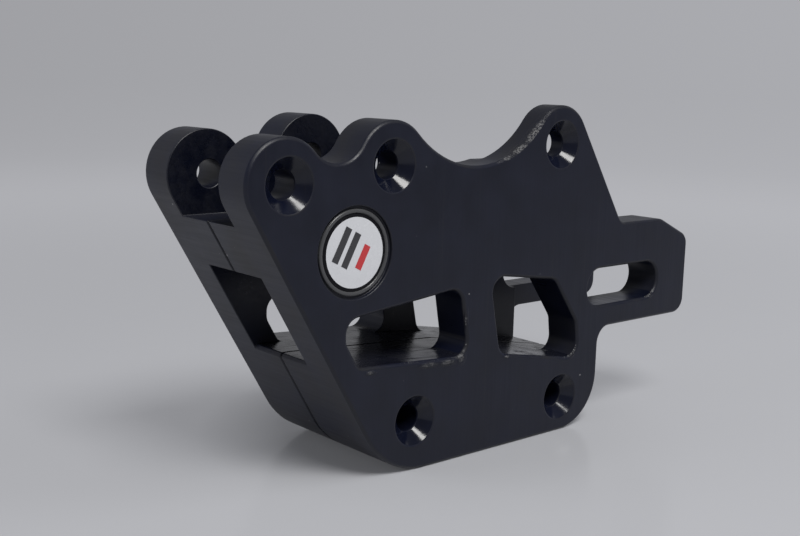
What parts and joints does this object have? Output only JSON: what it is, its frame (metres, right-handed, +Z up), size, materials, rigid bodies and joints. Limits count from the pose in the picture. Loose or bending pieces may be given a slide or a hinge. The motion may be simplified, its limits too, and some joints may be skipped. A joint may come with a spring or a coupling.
{
  "type": "motorcycle chain guide",
  "caption": "Machined plastic motorcycle chain guide in mirrored halves, with a chain tunnel, windows, countersunk mounting ears, a slotted tail tab and a round badge.",
  "frame": {"origin": "bottom centre of the guide's bounding box, on the parting plane between the halves", "axes": "+X along the plates towards the tail tab, +Z up, -Y out of the face that carries the badge"},
  "size_m": [0.1642, 0.045, 0.0929],
  "materials": {
    "black_plastic": "satin machined",
    "badge_plastic": "gloss"
  },
  "bodies": {
    "root": {"outer_half": "black_plastic", "inner_half": "black_plastic", "badge_disc": "badge_plastic"}
  },
  "joints": []
}
